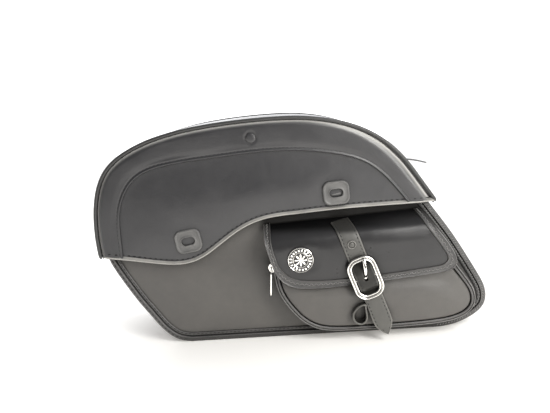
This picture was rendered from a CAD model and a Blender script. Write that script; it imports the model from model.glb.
"""A dark leather box bag: a rear-hinged lid with two lock plates, and a zipped outer pocket
under a flap that buckles down with a strap.

The front faces -Y, X runs to the right seen from the front, and the bag stands on z = 0.
Shapes are in millimetres, turned to metres in make(). Stage, lights and shaders use metres.
"""
import math
import random

import bmesh
import bpy
import numpy as np
from mathutils import Matrix, Vector


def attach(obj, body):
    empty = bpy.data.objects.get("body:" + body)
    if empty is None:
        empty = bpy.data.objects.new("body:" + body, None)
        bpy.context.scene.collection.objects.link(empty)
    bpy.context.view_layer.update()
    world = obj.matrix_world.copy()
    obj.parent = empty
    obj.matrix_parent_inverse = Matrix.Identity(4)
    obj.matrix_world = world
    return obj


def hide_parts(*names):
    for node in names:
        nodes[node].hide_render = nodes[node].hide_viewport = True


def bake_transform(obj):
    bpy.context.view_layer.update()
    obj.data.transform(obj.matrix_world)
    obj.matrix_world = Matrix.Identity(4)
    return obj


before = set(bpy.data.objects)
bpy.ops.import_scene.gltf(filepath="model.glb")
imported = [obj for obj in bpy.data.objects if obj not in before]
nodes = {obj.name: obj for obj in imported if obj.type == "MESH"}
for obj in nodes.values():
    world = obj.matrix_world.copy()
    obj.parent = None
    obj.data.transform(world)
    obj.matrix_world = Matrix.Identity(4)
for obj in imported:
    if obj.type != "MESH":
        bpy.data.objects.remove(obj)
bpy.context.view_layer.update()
random.seed(7)


# ---------------------------------------------------------------- curves in a plane
def lengths(vectors):
    return np.linalg.norm(vectors, axis=1)


def run_along(points):
    """Distance travelled at each point of a line."""
    return np.concatenate([[0], np.cumsum(lengths(np.diff(points, axis=0)))])


def catmull(points, steps=8, closed=False):
    """Catmull-Rom curve through the points."""
    points = np.array(points, float)
    if closed:
        padded = np.vstack([points[-1:], points, points[:2]])
    else:
        padded = np.vstack([2 * points[0] - points[1], points, 2 * points[-1] - points[-2]])
    curve = []
    for before, start, end, after in zip(padded, padded[1:], padded[2:], padded[3:]):
        for k in range(steps):
            part = k / steps
            curve.append(0.5 * (2 * start + (end - before) * part
                                + (2 * before - 5 * start + 4 * end - after) * part * part
                                + (3 * start - before - 3 * end + after) * part ** 3))
    if not closed:
        curve.append(points[-1])
    return np.array(curve)


def resample(points, step=None, count=None, closed=False):
    """Evenly spaced points along a line, by step or by count."""
    points = np.array(points, float)
    if closed:
        points = np.vstack([points, points[:1]])
    gaps = lengths(np.diff(points, axis=0))
    moving = gaps > 1e-9
    points = points[np.concatenate([[True], moving])]
    run = np.concatenate([[0], np.cumsum(gaps[moving])])
    if count is None:
        count = max(4, int(round(run[-1] / step))) + (0 if closed else 1)
    places = np.linspace(0, run[-1], count + (1 if closed else 0))
    even = np.stack([np.interp(places, run, column) for column in points.T], axis=1)
    return even[:-1] if closed else even


def relax(points, rounds, closed=False):
    """Average each point with its neighbours; the ends of an open line stay."""
    points = np.array(points, float)
    for _ in range(rounds):
        if closed:
            points = (np.roll(points, 1, 0) + 2 * points + np.roll(points, -1, 0)) / 4
        else:
            middle = (points[:-2] + 2 * points[1:-1] + points[2:]) / 4
            points = np.vstack([points[:1], middle, points[-1:]])
    return points


def smooth_curve(points, step=9.0, rounds=3, fine=3.0):
    """Relaxed curve through the points, laid out at step and refined to fine."""
    coarse = resample(relax(resample(catmull(points), 4.0), rounds), step)
    return resample(catmull(coarse, 6), fine)


def between(start, end, step):
    """Inner points of a straight line."""
    return resample([start, end], step)[1:-1]


def close_outline(points, line_step, step):
    """Close a line with a straight run and resample the loop."""
    straight = between(points[-1], points[0], line_step)
    return resample(np.vstack([points, straight]), step, closed=True)


def run_between(loop, start, end):
    """The run of a loop from its point nearest start to its point nearest end."""
    loop = np.roll(loop, -int(np.argmin(lengths(loop - start))), 0)
    return loop[:int(np.argmin(lengths(loop - end))) + 1]


def tangents(points, closed=False):
    if closed:
        ahead = np.roll(points, -1, 0) - np.roll(points, 1, 0)
    else:
        ahead = np.gradient(points, axis=0)
    return ahead / np.maximum(np.linalg.norm(ahead, axis=1, keepdims=True), 1e-9)


def normals(points, side=1, closed=False):
    """Unit normals, to the left of travel for side 1."""
    ahead = tangents(points, closed)
    return np.stack([-ahead[:, 1], ahead[:, 0]], axis=1) * side


def offset(points, distance, side=1, closed=False):
    return points + normals(points, side, closed) * distance


def draw_in(points, inset, centre=0.0):
    """Move points towards a centre by a distance; negative moves them away."""
    spokes = points - centre
    return centre + spokes * (1 - inset / lengths(spokes))[:, None]


def distance_to(points, line, closed=False):
    """Distance from each point to a polyline."""
    chunk = 3000    # bounds the size of the point-by-segment arrays
    if closed:
        line = np.vstack([line, line[:1]])
    start, span = line[:-1], line[1:] - line[:-1]
    span_squared = (span ** 2).sum(1)
    nearest = np.empty(len(points))
    for i in range(0, len(points), chunk):
        some = points[i:i + chunk, None, :]
        part = np.clip(((some - start) * span).sum(2) / span_squared, 0, 1)
        gap = (start + part[..., None] * span) - some
        nearest[i:i + chunk] = np.sqrt((gap ** 2).sum(2).min(1))
    return nearest


# ---------------------------------------------------------------- falloffs and sections
def smoothstep(values, low, high):
    part = np.clip((values - low) / (high - low), 0, 1)
    return part * part * (3 - 2 * part)


def bell(values, centre, width):
    return np.exp(-((values - centre) / width) ** 2)


def edge_drop(edge, width):
    """1 on an edge, easing to 0 at width from it."""
    return np.clip(1 - edge / width, 0, 1) ** 2


def roll_off(edge, width, drop):
    """Quarter-round fall of a face towards its edge."""
    flat = 1 - np.clip(edge / width, 0, 1)
    return drop * (1 - np.sqrt(np.clip(1 - flat ** 2, 0, 1)))


def waves(points, scale, amount, seed):
    """Soft undulation of leather, from six crossing sine waves."""
    draw = np.random.RandomState(seed)
    total = np.zeros(len(points))
    for _ in range(6):
        angle, phase, pace = draw.uniform(0, math.pi), draw.uniform(0, 6.28), draw.uniform(0.6, 1.7)
        across = points[:, 0] * math.cos(angle) + points[:, 1] * math.sin(angle)
        total += np.sin(across * 2 * math.pi * pace / scale + phase)
    return total * amount / 3


def turn(count):
    """Evenly spaced angles of a full turn."""
    return 2 * math.pi * np.arange(count) / count


def circle(radius, across, height, count):
    angles = turn(count)
    return np.stack([across + radius * np.cos(angles), height + radius * np.sin(angles)], axis=1)


def rounded_box(left, right, low, high, radius, steps):
    """Rectangle between its bounds, with steps along each rounded corner."""
    points = []
    for x, z, start in ((right - radius, high - radius, 0), (left + radius, high - radius, 90),
                        (left + radius, low + radius, 180), (right - radius, low + radius, 270)):
        for k in range(steps + 1):
            angle = math.radians(start + 90 * k / steps)
            points.append((x + radius * math.cos(angle), z + radius * math.sin(angle)))
    return np.array(points)


def rounded_rect(width, height, radius, steps):
    return rounded_box(-width / 2, width / 2, -height / 2, height / 2, radius, steps)


# ---------------------------------------------------------------- shapes: (vertices, faces)
def xyz(x, y, z):
    return np.stack(np.broadcast_arrays(x, y, z), axis=1)


def front_plane(x, z, y):
    """Placement of outline points on the front: the height is y."""
    return xyz(x, y, z)


def grid_faces(rows, columns, close_rows=False, close_columns=False):
    faces = []
    for i in range(rows if close_rows else rows - 1):
        for j in range(columns if close_columns else columns - 1):
            here, there = i * columns, ((i + 1) % rows) * columns
            beside = (j + 1) % columns
            faces.append((here + j, here + beside, there + beside, there + j))
    return faces


def tube_faces(rings, size, closed=False):
    """Faces over a row of rings, capped at both ends unless closed."""
    faces = grid_faces(rings, size, closed, True)
    if not closed:
        faces.append(tuple(range(size)))
        faces.append(tuple((rings - 1) * size + k for k in reversed(range(size))))
    return faces


def tube(rings, closed=False):
    return np.vstack(rings), tube_faces(len(rings), len(rings[0]), closed)


def merge(shapes):
    faces, start = [], 0
    for verts, part_faces in shapes:
        faces += [tuple(i + start for i in face) for face in part_faces]
        start += len(verts)
    return np.vstack([verts for verts, _ in shapes]), faces


def sweep(path, profile, closed=False, place=front_plane, side=1, taper=0):
    """Solid along a path. Profile rows: distance along the path's normal, height.
    The section shrinks over taper points at each end."""
    profile = np.array(profile, float)
    middle = profile.mean(0)
    rings = []
    for i, (point, normal) in enumerate(zip(path, normals(path, side, closed))):
        section = profile
        from_end = min(i, len(path) - 1 - i)
        if from_end < taper:
            shrink = math.sqrt(1 - ((taper - from_end) / taper) ** 2 * 0.92)
            section = middle + (profile - middle) * shrink
        spots = point + normal * section[:, :1]
        rings.append(place(spots[:, 0], spots[:, 1], section[:, 1]))
    return tube(rings, closed)


def keep_above(shape, lowest):
    verts, faces = shape
    verts[:, 2] = np.maximum(verts[:, 2], lowest)
    return verts, faces


# insets of a patch's first rings from its outline
PATCH_RINGS = (0, 0.12, 0.4, 0.9, 1.5, 2.3, 3.4, 5.0, 7.0, 9.5)


def patch(outline, centre, face, back, near=PATCH_RINGS, inner=40, place=front_plane):
    """Closed shell over a star-shaped outline: a crowned face, its rim and a flat back.
    face(points, distance from the outline) gives the face's height."""
    centre = np.array(centre, float)
    reach = lengths(outline - centre)
    insets = list(near) + [near[-1] + (reach - near[-1]) * (k / inner) for k in range(1, inner)]
    points = np.vstack([draw_in(outline, inset, centre) for inset in insets])
    count = len(outline)
    edge = distance_to(points, outline, True)
    edge[:count] = 0
    middle = centre[None, :]
    half_way = centre + (outline - centre) * 0.5
    verts = np.vstack([
        place(*points.T, face(points, edge)),
        place(*middle.T, face(middle, distance_to(middle, outline, True))),
        place(*outline.T, back),
        place(*half_way.T, back),
        place(*middle.T, back)])

    last_ring = (len(insets) - 1) * count
    face_hub = len(points)
    back_rim = face_hub + 1
    back_half = back_rim + count
    back_hub = back_half + count
    pairs = [(i, (i + 1) % count) for i in range(count)]
    faces = grid_faces(len(insets), count, False, True)
    faces += [(last_ring + i, last_ring + j, face_hub) for i, j in pairs]
    faces += [(i, j, back_rim + j, back_rim + i) for i, j in pairs]
    faces += [(back_rim + i, back_rim + j, back_half + j, back_half + i) for i, j in pairs]
    faces += [(back_half + i, back_half + j, back_hub) for i, j in pairs]
    return verts, faces


def ribbon(outer, inner, parts, face, back, place=front_plane):
    """Strip between two matched lines, divided across at parts (0 outer, 1 inner).
    face(parts, strip width, points) gives the face's height."""
    parts = np.array(parts)
    rings = []
    for start, end in zip(outer, inner):
        points = start + (end - start) * parts[:, None]
        top = place(*points.T, face(parts, np.linalg.norm(end - start), points))
        rings.append(np.vstack([top, place(*points[::-1].T, back)]))
    return tube(rings)


def lathe(profile, centre, count=48, closed=False):
    """Turned form about -Y. Profile rows: radius, height, from rim to middle, or a closed loop."""
    radii, heights = np.array(profile, float).T
    x, y, z = centre
    verts = np.vstack([xyz(x + radii * math.cos(a), y - heights, z + radii * math.sin(a))
                       for a in turn(count)])
    size = len(radii)
    faces = grid_faces(count, size, True, closed)
    if not closed:
        faces.append(tuple(i * size for i in range(count)))
        faces.append(tuple(i * size + size - 1 for i in reversed(range(count))))
    return verts, faces


def stitch_shape(length, width, height):
    """One stitch as a rounded capsule along X, raised along Z."""
    sides, rings = 8, 7
    verts = []
    for i in range(rings):
        angle = math.pi * (i + 0.5) / rings
        fullness = math.sin(angle) ** 0.55
        verts.append(xyz(-length / 2 * math.cos(angle), width / 2 * fullness * np.cos(turn(sides)),
                         height * fullness * np.sin(turn(sides))))
    verts.append([(-length / 2, 0, 0), (length / 2, 0, 0)])
    start_tip = rings * sides
    last_ring = (rings - 1) * sides
    faces = []
    for i in range(rings - 1):
        for k in range(sides):
            here, ahead, beside = i * sides, (i + 1) * sides, (k + 1) % sides
            faces.append((here + k, here + beside, ahead + beside, ahead + k))
    for k in range(sides):
        beside = (k + 1) % sides
        faces.append((start_tip, beside, k))
        faces.append((start_tip + 1, last_ring + k, last_ring + beside))
    return np.vstack(verts), faces


# ---------------------------------------------------------------- outlines, as (x, z) rows
LID = smooth_curve([
    (-257.3, 126.5), (-258.9, 141), (-259.6, 157), (-259.2, 173), (-257.9, 189), (-255.3, 204),
    (-251.6, 218), (-245.8, 232), (-236, 246.5), (-220, 260.3), (-198.8, 271.8), (-174.6, 281),
    (-138.3, 289.8), (-102.4, 294.8), (-66.8, 297.8), (-31.7, 299.3), (4.3, 299.2), (33, 296.6),
    (63, 290.8), (94, 280), (120, 265), (138.5, 249), (153.5, 232), (171, 207), (189.5, 180.0),
], fine=2.5)
# lower edge of the lid's front
SKIRT = smooth_curve([
    (-300, 134.5), (-256.5, 129), (-240.8, 126.4), (-220.4, 123.3), (-191.4, 118.2),
    (-168, 114.6), (-154, 113.6), (-140, 114.6), (-127, 118.4), (-113, 125.8), (-97.2, 136.9),
    (-77.8, 150.6), (-58.6, 161.2), (-39.4, 167.6), (-18, 171), (10, 172.6), (40, 174.6),
    (75, 176.2), (110, 176.9), (148, 177.4), (170, 178), (189.5, 179.3), (230, 182),
], step=8.0, rounds=4, fine=2.0)
# inner edge of the lid's border band
SEAM = smooth_curve([
    (-225.2, 100), (-225.2, 125), (-225.3, 151.6), (-225, 168), (-223.8, 184), (-220.6, 197.5),
    (-214.5, 211.5), (-205.1, 225.5), (-193.2, 236), (-178.2, 243.4), (-159.8, 249),
    (-132.5, 254), (-105.4, 257.3), (-78.4, 260), (-51.3, 262), (-24.6, 262.4), (2.2, 261.2),
    (28, 258.4), (50, 254.4), (68.8, 249.8), (86.7, 243.2), (104.4, 232.6), (122, 215.6),
    (139, 194.6), (151.5, 178), (175, 146),
], step=8.0, rounds=4, fine=2.0)
# x, and how far the seam is lowered there
SEAM_DROP = np.array([
    (-215, 0), (-193, 1.5), (-178, 2.5), (-160, 4), (-132, 5.5), (-105, 6.5), (-78, 7), (-51, 7),
    (-24, 6.5), (2, 6), (28, 5.5), (50, 5), (69, 4.5), (87, 3.5), (104, 2.5), (122, 1), (139, 0)])
SEAM[:, 1] -= np.interp(SEAM[:, 0], *SEAM_DROP.T)

# the box, from top left down, along the base and up to top right
BODY_LEFT = smooth_curve([
    (-236.5, 215), (-242.5, 195), (-246, 170), (-247.3, 145), (-246.2, 120), (-218.6, 69),
    (-201, 43), (-184.7, 20), (-166.7, 4.8), (-147, 0)], step=8.0, rounds=2, fine=3.0)
BODY_RIGHT = smooth_curve([
    (195, 0), (214, 3.2), (231, 9.5), (246.5, 18.8), (256.3, 30.5), (258, 44), (253.8, 60),
    (236.2, 91.4), (211.8, 131.4), (184.6, 169.8), (152, 215)], step=8.0, rounds=2, fine=3.0)
BODY_LEFT[-1, 1] = 0.0
BODY_RIGHT[0, 1] = 0.0
BODY = resample(np.vstack([BODY_LEFT, between(BODY_LEFT[-1], BODY_RIGHT[0], 6.0), BODY_RIGHT]), 3.0)

# the pocket: left side, bottom and right side, then its top from right to left
POCKET_LOWER = smooth_curve([
    (-26.8, 96), (-24.2, 78), (-17, 61), (-6, 45), (7, 30.5), (24.3, 20), (43.2, 15.9),
    (69, 14.9), (125, 15.5), (178, 17.4), (206, 21.4), (220, 26.8), (229, 34), (233.4, 43),
    (233.6, 53), (229.6, 65), (220.4, 79), (209.0, 95)], step=7.0, rounds=2, fine=2.5)
POCKET_TOP = smooth_curve([
    (209.0, 95), (201, 108.5), (193, 120.5), (184, 131.0), (175, 137), (163, 139), (130, 137.2),
    (70, 134), (0, 130.6), (-16, 130.4), (-26.5, 131.4), (-31.06, 127.7)],
    step=6.0, rounds=1, fine=2.5)
POCKET = relax(close_outline(np.vstack([POCKET_LOWER, POCKET_TOP[1:]]), 2.5, 2.5), 2, True)

FLAP_SLOPE, FLAP_SLOPE_X = 0.05, 70.0       # the flap rises to the right about this x
FLAP_FOLD_Y, FLAP_FOLD_Z = -109.6, 146.0
STRAP_TILT = math.radians(19.3)
BAR_X, BAR_Y, BAR_Z = 88.5, -117.6, 90.0    # middle of the buckle's bar
LOCKS = {"left": (-138.0, 145.2, 9.0), "right": (57.8, 197.6, 3.5)}    # x, z, tilt in degrees
STUD_X, STUD_Z = -47.8, 274.5


# ---------------------------------------------------------------- materials
class Graph:
    """A node tree; inputs given as sockets are linked, others are set."""

    def __init__(self, tree):
        self.tree = tree
        tree.nodes.clear()

    def feed(self, node, inputs):
        for key, value in inputs.items():
            if isinstance(value, bpy.types.NodeSocket):
                self.tree.links.new(value, node.inputs[key])
            else:
                node.inputs[key].default_value = value

    def node(self, kind, inputs=None, **settings):
        node = self.tree.nodes.new("ShaderNode" + kind)
        for key, value in settings.items():
            setattr(node, key, value)
        self.feed(node, inputs or {})
        return node

    def math(self, operation, *values):
        return self.node("Math", dict(enumerate(values)), operation=operation).outputs[0]

    def noise(self, scale, detail=3.0, roughness=0.5, distortion=0.0, at=None, output="Fac"):
        return self.node("TexNoise", {
            "Vector": at or self.coords, "Scale": scale, "Detail": detail,
            "Roughness": roughness, "Distortion": distortion}).outputs[output]

    def ramp(self, factor, *stops):
        """Colour ramp over two stops of (position, colour)."""
        node = self.node("ValToRGB", {0: factor})
        for element, (position, colour) in zip(node.color_ramp.elements, stops):
            element.position, element.color = position, (*colour, 1)
        return node.outputs[0]

    def remap(self, value, low, high, to_low=0.0, to_high=1.0, **settings):
        return self.node("MapRange", {"Value": value, "From Min": low, "From Max": high,
                                      "To Min": to_low, "To Max": to_high}, **settings).outputs[0]

    def mix(self, factor, first, second, **settings):
        return self.node("Mix", {0: factor, 6: first, 7: second}, data_type="RGBA",
                         **settings).outputs[2]

    def bump(self, height, strength, distance, normal=None):
        inputs = {"Height": height, "Strength": strength, "Distance": distance}
        if normal:
            inputs["Normal"] = normal
        return self.node("Bump", inputs).outputs[0]


def surface(name):
    """Material with an empty Principled surface, and its graph."""
    material = bpy.data.materials.new(name)
    material.use_nodes = True
    graph = Graph(material.node_tree)
    output = graph.node("OutputMaterial")
    graph.bsdf = graph.node("BsdfPrincipled")
    graph.feed(output, {0: graph.bsdf.outputs[0]})
    graph.coords = graph.node("TexCoord").outputs["Object"]
    return material, graph


def leather(name, dark=(0.020, 0.0195, 0.021), light=(0.034, 0.033, 0.034), rough=(0.36, 0.52),
            grain=0.22, pores=900.0, edge=(0.16, 0.155, 0.15), edge_amount=0.5, wrinkle=0.12,
            spec=0.5, coat=0.12):
    """Mottled leather, with edge worn on convex edges. grain and wrinkle are bump strengths,
    pores is the scale of the grain's cells, spec the specular level."""
    material, graph = surface(name)
    clouds = graph.math(
        "MULTIPLY_ADD", graph.noise(14.0, detail=4.0, roughness=0.55, distortion=0.4), 0.7, 0.0)
    mottle = graph.math(
        "MULTIPLY_ADD", graph.noise(90.0, detail=4.0, roughness=0.6, distortion=0.2), 0.3, clouds)
    colour = graph.ramp(mottle, (0.30, dark), (0.70, light))

    # worn convex edges
    pointiness = graph.node("NewGeometry").outputs["Pointiness"]
    patchy = graph.noise(60.0, detail=5.0, roughness=0.7)
    convex = graph.remap(pointiness, 0.515, 0.60, to_high=edge_amount)
    colour = graph.mix(graph.math("MULTIPLY", convex, patchy), colour, (*edge, 1))

    # darker in creases and where the shade attribute is painted
    occlusion = graph.node("AmbientOcclusion", {"Distance": 0.022}, samples=6).outputs["AO"]
    open_air = graph.remap(occlusion, 0.25, 0.85, to_low=0.16)
    shade = graph.node("Attribute", attribute_name="shade").outputs["Fac"]
    unshaded = graph.math("MULTIPLY_ADD", shade, -0.75, 1.0)
    exposure = graph.math("MULTIPLY", open_air, unshaded)
    colour = graph.mix(1.0, colour, exposure, blend_type="MULTIPLY")
    worn = graph.node("Attribute", attribute_name="wear").outputs["Fac"]
    colour = graph.mix(worn, colour, (0.80, 0.79, 0.76, 1))

    # grain: wobbling cells, fine pores and long soft wrinkles
    specular = graph.math("MULTIPLY", exposure, spec)
    roughness = graph.remap(graph.noise(45.0, detail=5.0, roughness=0.65), 0.3, 0.7, *rough)
    wobble = graph.noise(300.0, detail=2.0, output="Color")
    wobbled = graph.node("VectorMath", {0: wobble, 1: (0.0009, 0.0009, 0.0009), 2: graph.coords},
                         operation="MULTIPLY_ADD").outputs[0]
    creases = graph.node("TexVoronoi", {"Scale": pores, "Vector": wobbled},
                         feature="DISTANCE_TO_EDGE").outputs["Distance"]
    cells = graph.remap(creases, 0.0, 0.25)
    fine = graph.noise(1700.0, detail=3.0, roughness=0.6)
    wrinkles = graph.noise(38.0, detail=5.0, roughness=0.55, distortion=1.2)
    normal = graph.bump(wrinkles, wrinkle, distance=0.004)
    normal = graph.bump(cells, grain, distance=0.00018, normal=normal)
    normal = graph.bump(fine, grain * 0.6, distance=0.00008, normal=normal)
    graph.feed(graph.bsdf, {
        "Base Color": colour, "Specular IOR Level": specular, "Roughness": roughness,
        "Normal": normal, "Coat Weight": coat, "Coat Roughness": 0.32})
    return material


def metal(name, base, tint, rough, scratch=0.08):
    """Metal in base and tint, with scratches drawn out along Y."""
    material, graph = surface(name)
    cloudy = graph.noise(160.0, detail=5.0, roughness=0.7)
    colour = graph.ramp(cloudy, (0.25, tint), (0.62, base))
    stretched = graph.node("Mapping", {0: graph.coords, "Scale": (1.0, 0.15, 1.0)}).outputs[0]
    scratches = graph.noise(900.0, detail=6.0, roughness=0.75, at=stretched)
    graph.feed(graph.bsdf, {
        "Base Color": colour, "Metallic": 1.0,
        "Roughness": graph.remap(scratches, 0.3, 0.75, *rough),
        "Normal": graph.bump(scratches, scratch, distance=0.00006)})
    return material


def plastic(name, dark, light, rough=(0.42, 0.6), texture=0.25):
    """Clouded plastic with a fine bump of strength texture."""
    material, graph = surface(name)
    graph.feed(graph.bsdf, {
        "Base Color": graph.ramp(graph.noise(70.0, detail=4.0), (0.3, dark), (0.75, light)),
        "Roughness": graph.remap(graph.noise(120.0, detail=5.0), 0.3, 0.7, *rough),
        "Normal": graph.bump(graph.noise(2600.0, detail=2.0), texture, distance=0.0001)})
    return material


def cloth(name, dark=(0.012, 0.012, 0.013), light=(0.05, 0.05, 0.05), scale=1500.0, fuzzy=0.4):
    """Weave of two crossed wave bands; fuzzy is the sheen."""
    material, graph = surface(name)
    bands = [graph.node("TexWave", {"Scale": scale / 6.28, "Distortion": 1.5, "Detail": 2.0,
                                    "Vector": graph.coords},
                        wave_type="BANDS", bands_direction=axis).outputs["Fac"] for axis in "XZ"]
    weave = graph.math("MAXIMUM", *bands)
    graph.feed(graph.bsdf, {
        "Base Color": graph.ramp(weave, (0.2, dark), (0.9, light)),
        "Roughness": 0.85, "Sheen Weight": fuzzy,
        "Normal": graph.bump(weave, strength=0.6, distance=0.0003)})
    return material


# rivet and board are spare finishes
MATERIALS = {
    "leather": leather("leather_smooth"),
    "panel": leather(
        "leather_panel", dark=(0.048, 0.0455, 0.043), light=(0.070, 0.0655, 0.060),
        rough=(0.38, 0.52), grain=0.25, wrinkle=0.10),
    "lid": leather(
        "leather_lid", dark=(0.016, 0.016, 0.018), light=(0.025, 0.0246, 0.0265),
        rough=(0.32, 0.42), grain=0.2, wrinkle=0.09, coat=0.25),
    "flap": leather(
        "leather_flap", dark=(0.013, 0.0127, 0.0135), light=(0.019, 0.0187, 0.0195),
        rough=(0.27, 0.33), grain=0.12, wrinkle=0.025, coat=0.08, spec=0.40),
    "binding": leather(
        "leather_binding", dark=(0.026, 0.0255, 0.026), light=(0.052, 0.050, 0.049),
        rough=(0.30, 0.45), grain=0.4, pores=700.0, edge=(0.28, 0.27, 0.26), edge_amount=0.9,
        wrinkle=0.2),
    "piping": leather(
        "leather_piping", dark=(0.012, 0.012, 0.012), light=(0.024, 0.024, 0.024),
        rough=(0.36, 0.5), grain=0.3, edge_amount=0.2),
    "edge": leather(
        "leather_cut_edge", dark=(0.10, 0.10, 0.098), light=(0.19, 0.185, 0.175),
        rough=(0.35, 0.5), grain=0.3, edge=(0.5, 0.49, 0.46), edge_amount=0.9),
    "rolled": leather(
        "leather_rolled_edge", dark=(0.20, 0.195, 0.182), light=(0.36, 0.35, 0.33),
        rough=(0.26, 0.38), grain=0.15, edge=(0.4, 0.39, 0.36), edge_amount=0.6, wrinkle=0.06,
        coat=0.5),
    "strap": leather(
        "leather_strap", dark=(0.045, 0.044, 0.041), light=(0.072, 0.070, 0.063),
        rough=(0.36, 0.5), grain=0.35, pores=800.0, edge=(0.42, 0.41, 0.38), edge_amount=1.0),
    "lining": cloth("lining_cloth"),
    "tape": cloth("zip_tape", dark=(0.006, 0.006, 0.006), light=(0.028, 0.028, 0.028),
                  scale=2400.0, fuzzy=0.15),
    "thread": cloth("thread", dark=(0.0015, 0.0015, 0.0015), light=(0.008, 0.008, 0.008),
                    scale=5200.0, fuzzy=0.0),
    "thread_pale": cloth("thread_pale", dark=(0.06, 0.059, 0.057), light=(0.20, 0.196, 0.19),
                         scale=5200.0, fuzzy=0.1),
    "thread_mid": cloth("thread_mid", dark=(0.006, 0.006, 0.006), light=(0.03, 0.03, 0.03),
                        scale=5200.0, fuzzy=0.0),
    "chrome": metal("chrome_plate", base=(0.93, 0.92, 0.89), tint=(0.78, 0.765, 0.73),
                    rough=(0.07, 0.16), scratch=0.05),
    "dark_chrome": metal("dark_chrome", base=(0.30, 0.29, 0.28), tint=(0.12, 0.115, 0.11),
                         rough=(0.16, 0.34)),
    "steel": metal("zinc_steel", base=(0.58, 0.57, 0.55), tint=(0.36, 0.35, 0.33),
                   rough=(0.25, 0.42), scratch=0.2),
    "plastic": plastic("plastic_black", dark=(0.075, 0.074, 0.073), light=(0.115, 0.113, 0.110)),
    "rivet": plastic("rivet_cap", dark=(0.05, 0.05, 0.047), light=(0.09, 0.088, 0.08),
                     rough=(0.3, 0.42), texture=0.1),
    "enamel": plastic("badge_enamel", dark=(0.012, 0.012, 0.012), light=(0.03, 0.03, 0.03),
                      rough=(0.3, 0.45), texture=0.1),
    "board": plastic("board_black", dark=(0.018, 0.018, 0.018), light=(0.05, 0.05, 0.048),
                     rough=(0.6, 0.8), texture=0.6),
}


# ---------------------------------------------------------------- objects
def make(name, shape, material, body=None, replaces=(), sharp=35.0, outward=True):
    """Object from a shape in millimetres. Edges over sharp degrees are hard, none at 180."""
    verts, faces = shape
    mesh = bpy.data.meshes.new(name)
    mesh.from_pydata([tuple(v) for v in np.array(verts, float) * 0.001], [],
                     [tuple(int(i) for i in face) for face in faces])
    work = bmesh.new()
    work.from_mesh(mesh)
    bmesh.ops.remove_doubles(work, verts=work.verts, dist=2e-6)
    bmesh.ops.dissolve_degenerate(work, edges=work.edges, dist=1e-7)
    if outward:
        bmesh.ops.recalc_face_normals(work, faces=work.faces)
    work.to_mesh(mesh)
    work.free()
    piece = bpy.data.objects.new(name, mesh)
    bpy.context.scene.collection.objects.link(piece)
    mesh.materials.append(MATERIALS[material])
    mesh.polygons.foreach_set("use_smooth", [True] * len(mesh.polygons))
    if sharp < 180:
        mesh.set_sharp_from_angle(angle=math.radians(sharp))
    if body:
        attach(piece, body)
    if replaces:
        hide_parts(*replaces)
    return piece


def paint(piece, attribute, amount):
    """Store a 0 to 1 value per vertex, from amount(vertices in millimetres)."""
    count = len(piece.data.vertices)
    places = np.empty(count * 3)
    piece.data.vertices.foreach_get("co", places)
    values = np.clip(amount(places.reshape(-1, 3) * 1000.0), 0, 1)
    layer = piece.data.attributes.new(attribute, "FLOAT", "POINT")
    layer.data.foreach_set("value", values.astype(np.float32))


def seam_line(path, y, facing=-1.0):
    """Flat stitch line: its points and their normals along Y."""
    return front_plane(*path.T, y), np.tile([0, facing, 0], (len(path), 1))


def sew(name, lines, body=None, pitch=6.4, length=3.6, width=1.1, height=0.55, thread="thread",
        slant=0.06):
    """Stitches along lines of (points, outward normals), each slanted a little unevenly."""
    sink = 0.15
    stitch, stitch_faces = stitch_shape(length, width, height)
    parts = []
    for points, outward in lines:
        run = run_along(points)

        def at(values, place):
            return np.array([np.interp(place, run, column) for column in values.T])

        count = max(2, int(run[-1] / pitch))
        for k in range(count):
            place = run[-1] * (k + 0.5) / count
            ahead = at(points, min(place + 1, run[-1])) - at(points, max(place - 1, 0))
            ahead = ahead / np.linalg.norm(ahead)
            up = at(outward, place)
            up = up - ahead * (up @ ahead)
            up /= np.linalg.norm(up)
            across = np.cross(up, ahead)
            angle = slant + random.uniform(-0.05, 0.05)
            axes = np.array([ahead * math.cos(angle) + across * math.sin(angle),
                             across * math.cos(angle) - ahead * math.sin(angle), up])
            parts.append((at(points, place) - up * sink + stitch @ axes, stitch_faces))
    return make(name, merge(parts), thread, body=body, sharp=180, outward=False)


# ---------------------------------------------------------------- the box
# wall: slightly full between its two edges
WALL_FRONT, WALL_REAR = -74.9, 77.3
wall_ys = np.linspace(WALL_FRONT, WALL_REAR, 26)
wall_part = (wall_ys - WALL_FRONT) / (WALL_REAR - WALL_FRONT)
wall_outer = -1.6 * (1 - (2 * wall_part - 1) ** 4) * 0.9
wall_profile = list(zip(wall_outer, wall_ys)) + [(3.0, y) for y in wall_ys[::-1]]
box_wall = sweep(BODY[BODY[:, 1] < 213.2], wall_profile)
make("box_wall", keep_above(box_wall, 0.0), "leather", body="bag", replaces=["gusset"], sharp=60)


def box_front_face(points, edge):
    fade = 1 - smoothstep(points[:, 1], 100, 150)
    swell = 2.6 * smoothstep(edge, 2, 70) * (1 - smoothstep(points[:, 1], 85, 140))
    swell += waves(points, 170, 0.35, seed=3) * smoothstep(edge, 5, 40) * fade
    return -(77.6 + swell - 0.9 * edge_drop(edge, 1.4))


front_edge = offset(BODY, 6.5)
front_outline = close_outline(front_edge[front_edge[:, 1] < 212.6], 5.0, 3.0)
box_front = make("box_front", patch(front_outline, (-5, 105), box_front_face, -75.05, inner=55),
                 "panel", body="bag", replaces=["front_panel"])

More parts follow.
